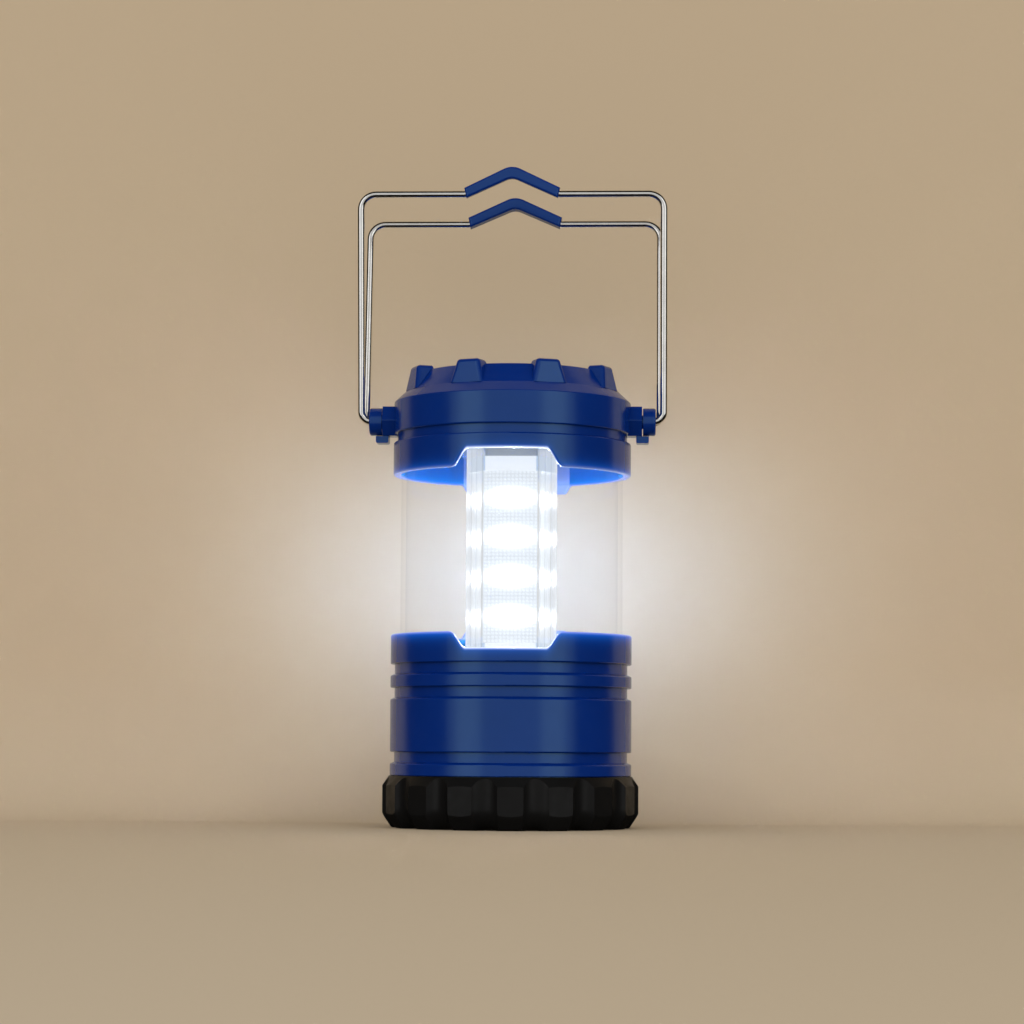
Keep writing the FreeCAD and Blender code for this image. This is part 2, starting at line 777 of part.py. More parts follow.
def pivot_clip(side):
    """Spring clip pushed up from below: its fork straddles the flats of the knob's spigot."""
    fork = spigot_flat / 2 + seat_gap
    crotch = pivot_z - spigot_diameter / 2 - seat_gap
    high = pivot_z + hub_half_height
    gap = side_prism([(-fork, crotch), (fork, crotch), (fork, high), (-fork, high)], clip_x - overcut,
                     clip_x + clip_thickness + overcut)
    head_high = pivot_z - hub_half_height - seat_gap
    head_low = head_high - clip_head_height
    middle = (hub_face + knob_inner) / 2
    left, right = middle - clip_head_width / 2, middle + clip_head_width / 2
    half = clip_head_length / 2
    outline = [(left, head_high), (left, head_low, clip_head_round), (right, head_low, clip_head_round),
               (right, head_high)]
    head = front_prism(outline, -half, half)
    return on_side(clip_plate(0).cut(gap).fuse(head).removeSplitter(), side)


def pivot_knob(side):
    """Round knob with a hole for the foot of each handle, and a spigot that sits in the hub."""
    knob = side_disc(knob_radius, knob_inner, knob_face)
    rim = [e for e in knob.Edges if e.BoundBox.XMin > knob_face - touch]
    knob = knob.makeFillet(knob_round, rim)
    spigot = side_disc(spigot_diameter / 2, hub_face - spigot_length, knob_inner)
    low, high = clip_x - seat_gap, clip_x + clip_thickness + seat_gap
    neck = Part.makeBox(high - low, spigot_flat, spigot_diameter,
                        Vector(low, -spigot_flat / 2, pivot_z - spigot_diameter / 2))
    spigot = spigot.cut(side_disc(spigot_diameter / 2 + overcut, low, high).cut(neck))
    hole_radius = wire_diameter / 2 + pin_gap
    holes = []
    for y in (-pivot_spread / 2, pivot_spread / 2):
        holes.append(side_disc(hole_radius, knob_face - pin_length - seat_gap, knob_face, y))
        holes.append(Part.makeCone(hole_radius, countersink_radius, countersink_depth,
                                   Vector(knob_face - countersink_depth, y, pivot_z), X_AXIS))
    return on_side(knob.fuse(spigot).cut(Part.makeCompound(holes)).removeSplitter(), side)


# Wire handles

def path_edges(corners):
    """Open planar path of straight runs and tangent arcs, from (x, z, radius) corners."""
    points = [Vector(x, 0, z) for x, z, radius in corners]
    edges, start = [], points[0]
    for i in range(1, len(points) - 1):
        before, after = points[i - 1] - points[i], points[i + 1] - points[i]
        half = before.getAngle(after) / 2
        radius = corners[i][2]
        before.normalize()
        after.normalize()
        reach = radius / math.tan(half)
        bisector = before + after
        bisector.normalize()
        arrive, leave = points[i] + before * reach, points[i] + after * reach
        middle = points[i] + bisector * (radius / math.sin(half) - radius)
        edges.append(Part.LineSegment(start, arrive).toShape())
        edges.append(Part.Arc(arrive, middle, leave).toShape())
        start = leave
    edges.append(Part.LineSegment(start, points[-1]).toShape())
    return edges


def climb(run, slope):
    """Height gained along a run at a slope in degrees."""
    return run * math.tan(math.radians(slope))


def bail_path(leg_x, bar_height, foot_bend):
    """Bent wire in the plane y = 0, with its pivot axis on z = 0."""
    pin_end = knob_face - pin_length
    half = [(pin_end, 0, 0), (leg_x, 0, foot_bend), (leg_x, bar_height, bail_corner),
            (grip_half_width, bar_height, wire_bend)]
    peak = (0, bar_height + climb(grip_half_width, wire_slope), wire_peak_round)
    return [(-x, z, radius) for x, z, radius in half] + [peak] + half[::-1]


def swept(edges, section_edges):
    return Part.Wire(edges).makePipeShell([Part.Wire(section_edges)], True, False)


def bail_wire(leg_x, bar_height, foot_bend):
    edges = path_edges(bail_path(leg_x, bar_height, foot_bend))
    start = edges[0].Vertexes[0].Point
    circle = Part.makeCircle(wire_diameter / 2, start, X_AXIS)
    return swept(edges, [circle])


def grip(leg_x, bar_height, foot_bend):
    """Plastic chevron moulded on the middle of the wire, a little thicker at its peak than at its ends."""
    upper_half, lower_half = grip_half_width + grip_end_slant, grip_half_width - grip_end_slant
    upper_end, lower_end = bar_height + grip_end_rise, bar_height - grip_end_drop
    upper_peak = (0, upper_end + climb(upper_half, grip_upper_slope), grip_upper_round)
    lower_peak = (0, lower_end + climb(lower_half, grip_lower_slope), grip_lower_round)
    outline = [(-upper_half, upper_end), upper_peak, (upper_half, upper_end),
               (lower_half, lower_end), lower_peak, (-lower_half, lower_end)]
    block = front_prism(outline, -grip_depth / 2, grip_depth / 2)
    long_edges = [e for e in block.Edges if e.BoundBox.YLength < touch]
    return block.makeFillet(grip_round, long_edges).cut(bail_wire(leg_x, bar_height, foot_bend))


def leaned(shape, pivot_y, lean):
    """Handle moved to its pivot and leaned. A positive lean tips it towards the front."""
    moved = shape.copy()
    moved.translate(Vector(0, pivot_y, pivot_z))
    moved.rotate(Vector(0, pivot_y, pivot_z), X_AXIS, lean)
    return moved


# Twist-off base cover

def base_cover():
    lip = body_radius + cover_top_lip
    groove_half = seal_diameter / 2 + seat_gap
    groove_radius = neck_radius + pin_gap + seal_diameter + pin_gap
    outside = [(0, 0), (cover_foot_radius, 0, cover_foot_edge),
               (bowl_radius, cover_foot_rise, cover_foot_bend),
               (bowl_radius, cover_height - cover_chamfer_drop), (lip, cover_height)]
    inside = [(cover_bore, cover_height), (cover_bore, seal_height + groove_half),
              (groove_radius, seal_height + groove_half), (groove_radius, seal_height - groove_half),
              (cover_bore, seal_height - groove_half), (cover_bore, cover_floor + cover_inner_chamfer),
              (cover_bore - cover_inner_chamfer, cover_floor), (0, cover_floor)]
    step = 360 / flute_count
    angles = [FACE_ANGLES[0] + flute_turn + step * (k + 0.5) for k in range(flute_count)]
    corner_reach = cover_radius / math.cos(math.radians(step / 2))
    lands = upright([on_face(angle, corner_reach) for angle in angles], 0, cover_height)
    flutes = Part.makeCompound([around(flute(), angle) for angle in angles])
    bowl = turned(outside + inside).common(lands).cut(flutes)
    hooks = [around(hook(), angle) for angle in CORNER_ANGLES]
    stakes = [disc(stake_diameter / 2, cover_floor, cover_floor + cover_board_thickness + stake_rise, x, y)
              for x, y in stake_places()]
    return bowl.multiFuse(hooks + stakes).removeSplitter()


def flute():
    """Cutter on the +X side between two flat lands: a scoop down the side that turns in under the foot."""
    corner_x, corner_y = on_face(-180 / flute_count, cover_radius, land_width / 2)
    floor = cover_radius - flute_depth
    sag = corner_x - floor
    radius = (corner_y ** 2 + sag ** 2) / (2 * sag)
    circle = Part.makeCircle(radius, Vector(floor + radius, 0, flute_foot_start), Z_AXIS)
    face = Part.Face(Part.Wire(circle))
    centre = Vector(floor - flute_foot_bend, 0, flute_foot_start)
    return face.extrude(Vector(0, 0, cover_height)).fuse(face.revolve(centre, Y_AXIS, 90))


def stake_places():
    """Heat stakes of the contact board, in plan."""
    return [on_face(angle, stake_circle) for angle in CORNER_ANGLES]


def hook():
    """Bayonet hook on the +X side: a post from the cover's floor with a head over the core's flange."""
    head_low = flange_top + hook_gap
    post = pipe(hook_radius + hook_wall, hook_radius, cover_floor, head_low + hook_head)
    head = pipe(hook_radius + hook_wall + hook_reach, hook_radius, head_low, head_low + hook_head)
    wedge = Part.makeCylinder(cover_bore, cover_height, ORIGIN, Z_AXIS, 2 * hook_half_angle)
    return fused([post, head]).common(around(wedge, -hook_half_angle))


def base_seal():
    centre = neck_radius + pin_gap + seal_diameter / 2
    return Part.makeTorus(centre, seal_diameter / 2, Vector(0, 0, seal_height), Z_AXIS)


def cover_board():
    plate = disc(board_radius, cover_floor, cover_floor + cover_board_thickness)
    holes = [disc(stake_diameter / 2 + seat_gap, cover_floor, cover_floor + cover_board_thickness, x, y)
             for x, y in stake_places()]
    return plate.cut(Part.makeCompound(holes))


def leaf_contacts():
    """Bent leaf under each cell: a flat foot on the board and a tongue that rises to the cell's end."""
    seat = cover_floor + cover_board_thickness
    tip = cell_bottom - leaf_gap
    half = leaf_length / 2
    t = leaf_thickness
    tip_end = leaf_tip_length / 2
    foot = [(-half, seat), (half, seat), (half, seat + t), (-half + 2 * t, seat + t)]
    tongue = [(-tip_end + t, tip - t), (tip_end, tip - t), (tip_end, tip), (-tip_end, tip),
              (-half, seat + 2 * t)]
    leaves = []
    for angle in FACE_ANGLES:
        face = outline_face(foot + tongue, lambda p: Vector(cell_circle - leaf_width / 2, p.x, p.y))
        leaves.append(around(face.extrude(Vector(leaf_width, 0, 0)), angle))
    return leaves


def main():
    os.makedirs("parts", exist_ok=True)
    export("body_shell", body_shell())
    export("battery_core", battery_core())
    for number, angle in enumerate(FACE_ANGLES, 1):
        export(f"battery_cell_{number}", cell(angle, number != 2))
    export("top_contacts", top_contacts())
    export("switch_strips", switch_strips())
    export("base_cover", base_cover())
    export("base_seal", base_seal())
    export("cover_board", cover_board())
    export("leaf_contacts", leaf_contacts())
    export("clear_tube", clear_tube())
    export("cap_skirt", cap_skirt())
    export("top_cap", top_cap())
    export("cap_screws", cap_screws())
    export("driver_board", driver_board())
    export("driver_parts", driver_parts())
    export("column_cover", column_cover())
    export("column_core", column_core())
    export("column_foot", column_foot())
    export("column_screws", column_screws())
    export("wiper_pads", wiper_pads())
    export("lower_collar", lower_collar())
    export("upper_collar", upper_collar())
    for name, angle in zip(("front", "right", "left"), FACE_ANGLES):
        export(f"diffuser_{name}", diffuser(angle))
        export(f"led_board_{name}", led_board(angle))
    export("led_chips", led_chips())
    for name, side in SIDES.items():
        export(f"pivot_knob_{name}", pivot_knob(side))
        export(f"pivot_clip_{name}", pivot_clip(side))
    front = (front_leg_x, front_bar_height, front_foot_bend)
    rear = (rear_leg_x, rear_bar_height, rear_foot_bend)
    export("front_handle_wire", leaned(bail_wire(*front), -pivot_spread / 2, front_lean))
    export("front_handle_grip", leaned(grip(*front), -pivot_spread / 2, front_lean))
    export("rear_handle_wire", leaned(bail_wire(*rear), pivot_spread / 2, -rear_lean))
    export("rear_handle_grip", leaned(grip(*rear), pivot_spread / 2, -rear_lean))


main()
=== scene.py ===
import math
import bpy
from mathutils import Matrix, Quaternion, Vector


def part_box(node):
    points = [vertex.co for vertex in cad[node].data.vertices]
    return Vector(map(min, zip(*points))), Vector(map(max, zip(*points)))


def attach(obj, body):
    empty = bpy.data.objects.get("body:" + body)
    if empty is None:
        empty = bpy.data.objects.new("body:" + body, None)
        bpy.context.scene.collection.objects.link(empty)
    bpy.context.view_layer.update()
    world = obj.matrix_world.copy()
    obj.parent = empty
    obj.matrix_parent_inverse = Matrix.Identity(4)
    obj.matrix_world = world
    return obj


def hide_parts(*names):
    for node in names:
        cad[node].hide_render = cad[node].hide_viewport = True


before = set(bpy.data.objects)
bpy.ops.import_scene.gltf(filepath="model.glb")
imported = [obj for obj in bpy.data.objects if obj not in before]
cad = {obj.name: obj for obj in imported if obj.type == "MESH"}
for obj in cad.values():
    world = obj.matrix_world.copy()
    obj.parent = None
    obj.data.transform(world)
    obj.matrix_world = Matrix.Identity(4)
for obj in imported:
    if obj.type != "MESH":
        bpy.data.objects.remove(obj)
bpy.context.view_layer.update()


# Battery core with its cells and contacts. The core is a moulded insert that stands in the blue body and
# holds three AA cells round the LED column's guide. The cells are steel cans in plain two-tone sleeves, and
# the contacts are plated strips let into the core.
MM = 0.001


def start_material(name):
    """New material: its node tree, its main shader and the piece's own coordinates."""
    material = bpy.data.materials.new(name)
    material.use_nodes = True
    tree = material.node_tree
    place = tree.nodes.new("ShaderNodeTexCoord").outputs["Object"]
    return material, tree, tree.nodes["Principled BSDF"], place


def noise(tree, place, size, detail=3.0):
    """Noise with patches about size across, in metres."""
    texture = tree.nodes.new("ShaderNodeTexNoise")
    texture.inputs["Scale"].default_value = 1 / size
    texture.inputs["Detail"].default_value = detail
    tree.links.new(place, texture.inputs["Vector"])
    return texture.outputs["Fac"]


def spread(tree, value, low, high, start=0.3, end=0.7):
    """Stretches a value from start..end, where noise mostly lies, to low..high."""
    stretch = tree.nodes.new("ShaderNodeMapRange")
    stretch.inputs["From Min"].default_value = start
    stretch.inputs["From Max"].default_value = end
    stretch.inputs["To Min"].default_value = low
    stretch.inputs["To Max"].default_value = high
    tree.links.new(value, stretch.inputs["Value"])
    return stretch.outputs["Result"]


def two_tone(tree, value, first, second):
    """Colour between first and second by a value from 0 to 1."""
    mix = tree.nodes.new("ShaderNodeMix")
    mix.data_type = "RGBA"
    tree.links.new(value, mix.inputs["Factor"])
    mix.inputs[6].default_value = (*first, 1)
    mix.inputs[7].default_value = (*second, 1)
    return mix.outputs[2]


def relief(tree, shader, height, depth):
    """Surface relief of a depth in metres."""
    bump = tree.nodes.new("ShaderNodeBump")
    bump.inputs["Distance"].default_value = depth
    tree.links.new(height, bump.inputs["Height"])
    tree.links.new(bump.outputs["Normal"], shader.inputs["Normal"])


def moulded_plastic(name, deep, pale, smoothest, roughest, grain_depth=0.002 * MM, gleam=0.5):
    """Moulded plastic: faint flow marks in its colour, uneven gloss and the fine grain of the mould."""
    material, tree, shader, place = start_material(name)
    shader.inputs["Specular IOR Level"].default_value = gleam
    flow_size, gloss_size, grain_size = 18 * MM, 3 * MM, 1.2 * MM
    flow = spread(tree, noise(tree, place, flow_size), 0, 1)
    tree.links.new(two_tone(tree, flow, deep, pale), shader.inputs["Base Color"])
    gloss = spread(tree, noise(tree, place, gloss_size), smoothest, roughest)
    tree.links.new(gloss, shader.inputs["Roughness"])
    relief(tree, shader, noise(tree, place, grain_size, detail=2.0), grain_depth)
    return material


def plated_metal(name, deep, pale, smoothest, roughest):
    """Bare or plated metal with faint tarnish and uneven polish."""
    material, tree, shader, place = start_material(name)
    shader.inputs["Metallic"].default_value = 1
    tarnish_size, streak_size, grain_size, grain_depth = 6 * MM, 1.5 * MM, 0.25 * MM, 0.003 * MM
    tarnish = spread(tree, noise(tree, place, tarnish_size, detail=5.0), 0, 1)
    tree.links.new(two_tone(tree, tarnish, deep, pale), shader.inputs["Base Color"])
    polish = spread(tree, noise(tree, place, streak_size, detail=4.0), smoothest, roughest)
    tree.links.new(polish, shader.inputs["Roughness"])
    relief(tree, shader, noise(tree, place, grain_size, detail=2.0), grain_depth)
    return material


def dress(material, *names):
    """Gives CAD pieces their finish."""
    for name in names:
        for slot in cad[name].material_slots:
            slot.material = material


core_plastic = moulded_plastic("core_plastic", (0.010, 0.011, 0.013), (0.016, 0.017, 0.020), 0.42, 0.55)
dress(core_plastic, "battery_core")

brass = plated_metal("contact_metal", (0.66, 0.60, 0.47), (0.80, 0.75, 0.62), 0.18, 0.34)
dress(brass, "top_contacts", "switch_strips")


def cell_sleeve():
    """Shrink sleeve of a cell: a dark band low down, a copper band above it and bare steel ends."""
    material, tree, shader, place = start_material("cell_jacket")
    height = tree.nodes.new("ShaderNodeSeparateXYZ")
    tree.links.new(place, height.inputs[0])
    low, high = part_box("battery_cell_1")
    bands = tree.nodes.new("ShaderNodeValToRGB")
    bands.color_ramp.interpolation = "CONSTANT"
    steel, dark, copper = (0.62, 0.62, 0.60, 1), (0.012, 0.012, 0.014, 1), (0.52, 0.24, 0.09, 1)
    sleeve_start, copper_start, sleeve_end = 0.03, 0.66, 0.96
    stops = bands.color_ramp.elements
    stops[0].color = steel
    stops[1].position = sleeve_start
    stops[1].color = dark
    for position, colour in ((copper_start, copper), (sleeve_end, steel)):
        stops.new(position).color = colour
    share = spread(tree, height.outputs["Z"], 0, 1, low.z, high.z)
    tree.links.new(share, bands.inputs["Fac"])
    tree.links.new(bands.outputs["Color"], shader.inputs["Base Color"])
    wrinkle_size, wrinkle_depth = 2 * MM, 0.01 * MM
    wrinkle = noise(tree, place, wrinkle_size)
    tree.links.new(spread(tree, wrinkle, 0.22, 0.34), shader.inputs["Roughness"])
    relief(tree, shader, wrinkle, wrinkle_depth)
    return material


dress(cell_sleeve(), "battery_cell_1", "battery_cell_2", "battery_cell_3")


# Body shell: the blue moulded barrel over the base cover, with grooves round it, a window cut into the front
# of its rim and a tab that rises at the back. Satin ABS, straight from the mould. The LEDs' light a little
# way into its rim is painted on as a glow.
def node_maker(tree):
    """Short way to add a node, set its properties and feed its inputs by name or number."""
    def add(kind, feeds=(), **settings):
        node = tree.nodes.new(kind)
        for key, value in settings.items():
            setattr(node, key, value)
        for socket, value in dict(feeds).items():
            if isinstance(value, bpy.types.NodeSocket):
                tree.links.new(value, node.inputs[socket])
            else:
                node.inputs[socket].default_value = value
        return node
    return add


def math_maker(add):
    """Arithmetic between sockets and numbers."""
    def calc(operation, first, second=0.0):
        return add("ShaderNodeMath", {0: first, 1: second}, operation=operation).outputs[0]
    return calc


def blue_moulded(name):
    """The lantern's blue: satin ABS with faint flow marks and a bluish gleam."""
    deep_blue, pale_blue, gleam_tint = (0.0003, 0.0235, 0.214), (0.0005, 0.0260, 0.236), (0.5, 0.9, 1.0, 1)
    material = moulded_plastic(name, deep_blue, pale_blue, 0.19, 0.24, gleam=0.62)
    material.node_tree.nodes["Principled BSDF"].inputs["Specular Tint"].default_value = gleam_tint
    return material


def lit_rim(material, rim, way, level, bore, notch_depth, notch_foot, notch_rim, tab_glow):
    """Paints the glow of LED light inside the plastic as emission: in the bore, at the rim and, as a white
    line, round the window notch. way is 1 for a rim that faces up and -1 for one that faces down. The notch
    has its depth and its widths at foot and rim in metres. tab_glow is what the tab at the back adds to the
    bore."""
    rim_reach, line_width, bore_reach, bore_glow, line_glow = 1.4 * MM, 0.6 * MM, 14 * MM, 0.25, 0.8
    corner, bore_slack, tab_margin = 0.8 * MM, 0.4 * MM, 1.4 * MM
    # Colours of the painted glow: blue in the rim and bore, paler blue on the tab, white along the notch.
    rim_glow_blue, line_glow_white = (0.01, 0.18, 1.0), (0.80, 0.88, 1.0)
    bore_glow_blue, tab_glow_blue = (0.0, 0.37, 0.80), (0.40, 0.56, 0.95)
    tree = material.node_tree
    shader = tree.nodes["Principled BSDF"]
    add = node_maker(tree)
    calc = math_maker(add)
    place = add("ShaderNodeTexCoord").outputs["Object"]
    spot = add("ShaderNodeSeparateXYZ", {0: place}).outputs
    sideways = calc("ABSOLUTE", spot["X"])
    notch = add("ShaderNodeMapRange", {"Value": sideways, "From Min": notch_foot / 2 - corner,
                                       "From Max": notch_rim / 2 + corner, "To Min": 1.0, "To Max": 0.0},
                interpolation_type="SMOOTHSTEP").outputs[0]
    share = calc("MULTIPLY", notch, calc("LESS_THAN", spot["Y"], 0.0))
    edge = calc("SUBTRACT", rim, calc("MULTIPLY", share, way * notch_depth))
    depth = calc("MAXIMUM", calc("MULTIPLY", calc("SUBTRACT", edge, spot["Z"]), way), 0.0)
    glow = calc("EXPONENT", calc("DIVIDE", depth, -rim_reach))
    line = calc("EXPONENT", calc("MULTIPLY", calc("POWER", calc("DIVIDE", depth, line_width), 2), -1.0))
    white = calc("MULTIPLY", line, calc("ADD", calc("MULTIPLY", share, 0.6), 0.4))
    rim_colour = two_tone(tree, white, rim_glow_blue, line_glow_white)
    outside = calc("MULTIPLY", glow, calc("SUBTRACT", level, calc("MULTIPLY", share, 0.5 * level)))
    edged = calc("ADD", outside, calc("MULTIPLY", line, calc("MULTIPLY", share, line_glow)))
    radius = calc("SQRT", calc("ADD", calc("POWER", spot["X"], 2), calc("POWER", spot["Y"], 2)))
    deep = calc("EXPONENT", calc("DIVIDE", depth, -bore_reach))
    in_bore = calc("LESS_THAN", radius, bore + bore_slack)
    on_tab = calc("MULTIPLY", calc("LESS_THAN", sideways, notch_rim / 2 + tab_margin),
                  calc("GREATER_THAN", spot["Y"], 0.0))
    bore_level = calc("ADD", calc("MULTIPLY", on_tab, tab_glow), bore_glow)
    inside = calc("MULTIPLY", in_bore, calc("MULTIPLY", deep, bore_level))
    bore_share = calc("MULTIPLY", in_bore, calc("SUBTRACT", 1.0, line))
    bore_colour = two_tone(tree, calc("MULTIPLY", on_tab, 3 * tab_glow), bore_glow_blue, tab_glow_blue)
    colour = add("ShaderNodeMix", {"Factor": bore_share, 6: rim_colour, 7: bore_colour}, data_type="RGBA")
    tree.links.new(colour.outputs[2], shader.inputs["Emission Color"])
    tree.links.new(calc("ADD", edged, inside), shader.inputs["Emission Strength"])


body_blue = blue_moulded("body_blue")
lit_rim(body_blue, rim=68.5 * MM, way=1, level=0.8, bore=40.1 * MM, notch_depth=5.7 * MM,
        notch_foot=29.4 * MM, notch_rim=37.2 * MM, tab_glow=0.0)
dress(body_blue, "body_shell")


# Twist-off base cover: a black moulded cap with sixteen flat lands and scooped flutes for the fingers. It is
# locked by hooks under the core's flange and sealed by a rubber ring, and a contact board is staked to it.
black_plastic = moulded_plastic("black_plastic", (0.0065, 0.0065, 0.0067), (0.0090, 0.0090, 0.0092),
                                0.34, 0.44, grain_depth=0.006 * MM, gleam=0.15)
dress(black_plastic, "base_cover")

seal_rubber = moulded_plastic("seal_rubber", (0.006, 0.006, 0.006), (0.012, 0.012, 0.012), 0.55, 0.7)
dress(seal_rubber, "base_seal")
dress(brass, "leaf_contacts")


def circuit_board(name, mask, trace):
    """Circuit board: solder mask in two shades over a grid of tracks that show through in their own tone."""
    material, tree, shader, place = start_material(name)
    track_spacing, track_share, track_depth = 12 * MM, 0.05, 0.03 * MM
    tracks = tree.nodes.new("ShaderNodeTexBrick")
    tracks.inputs["Scale"].default_value = 1 / track_spacing
    tracks.inputs["Mortar Size"].default_value = track_share
    tracks.inputs["Color1"].default_value = (*mask, 1)
    tracks.inputs["Color2"].default_value = (*[0.9 * c for c in mask], 1)
    tracks.inputs["Mortar"].default_value = (*trace, 1)
    tree.links.new(place, tracks.inputs["Vector"])
    tree.links.new(tracks.outputs["Color"], shader.inputs["Base Color"])
    tree.links.new(spread(tree, noise(tree, place, 2 * MM), 0.3, 0.45), shader.inputs["Roughness"])
    relief(tree, shader, tracks.outputs["Fac"], track_depth)
    return material


green_board = circuit_board("green_board", (0.010, 0.075, 0.030), (0.03, 0.16, 0.06))
dress(green_board, "cover_board")


# LED column: three white circuit boards with four LEDs each stand round a moulded core, behind bowed windows
# covered in small lens beads, inside a six-sided clear cover. White collars hold the windows at both ends.
white_plastic = moulded_plastic("white_plastic", (0.76, 0.78, 0.80), (0.82, 0.83, 0.84), 0.3, 0.4)
dress(white_plastic, "column_foot")
core_grey = moulded_plastic("core_grey", (0.42, 0.44, 0.46), (0.48, 0.50, 0.52), 0.3, 0.4)
dress(core_grey, "column_core")


def lit_collar():
    """White plastic with the LEDs' light through it painted as emission: a bright glow over each window and a
    pale blue one at the three corners.
    """
    window_half, window_glow, corner_glow_blue = 9.1 * MM, (0.86, 0.90, 0.92), (0.32, 0.46, 0.64)
    material = moulded_plastic("collar_white", (0.30, 0.31, 0.32), (0.34, 0.35, 0.36), 0.3, 0.4)
    tree = material.node_tree
    add = node_maker(tree)
    calc = math_maker(add)
    spot = add("ShaderNodeSeparateXYZ", {0: add("ShaderNodeTexCoord").outputs["Object"]}).outputs
    angle = calc("ARCTAN2", spot["X"], calc("MULTIPLY", spot["Y"], -1.0))
    third = math.radians(120)
    turned = calc("SUBTRACT", angle, calc("MULTIPLY", calc("ROUND", calc("DIVIDE", angle, third)), third))
    radius = calc("SQRT", calc("ADD", calc("POWER", spot["X"], 2), calc("POWER", spot["Y"], 2)))
    aside = calc("ABSOLUTE", calc("MULTIPLY", radius, calc("SINE", turned)))
    corner = calc("GREATER_THAN", aside, window_half)
    shader = tree.nodes["Principled BSDF"]
    # Painted glow of the LEDs' light through the collar.
    tree.links.new(two_tone(tree, corner, window_glow, corner_glow_blue), shader.inputs["Emission Color"])
    shader.inputs["Emission Strength"].default_value = 1
    return material


dress(lit_collar(), "lower_collar", "upper_collar")
dress(circuit_board("white_board", (0.74, 0.76, 0.78), (0.62, 0.65, 0.68)),
      "led_board_front", "led_board_right", "led_board_left")
screw_steel = plated_metal("screw_steel", (0.45, 0.45, 0.46), (0.60, 0.60, 0.61), 0.22, 0.36)
dress(screw_steel, "column_screws")
dress(brass, "wiper_pads")


def led_phosphor():
    """LED package that is switched on: cool white light, a little uneven over the phosphor."""
    material, tree, shader, place = start_material("led")
    shader.inputs["Base Color"].default_value = (0.85, 0.80, 0.55, 1)
    shader.inputs["Emission Color"].default_value = (0.90, 0.96, 1.0, 1)
    tree.links.new(spread(tree, noise(tree, place, 1 * MM), 9, 12), shader.inputs["Emission Strength"])
    tree.links.new(spread(tree, noise(tree, place, 0.5 * MM), 0.3, 0.5), shader.inputs["Roughness"])
    return material


dress(led_phosphor(), "led_chips")


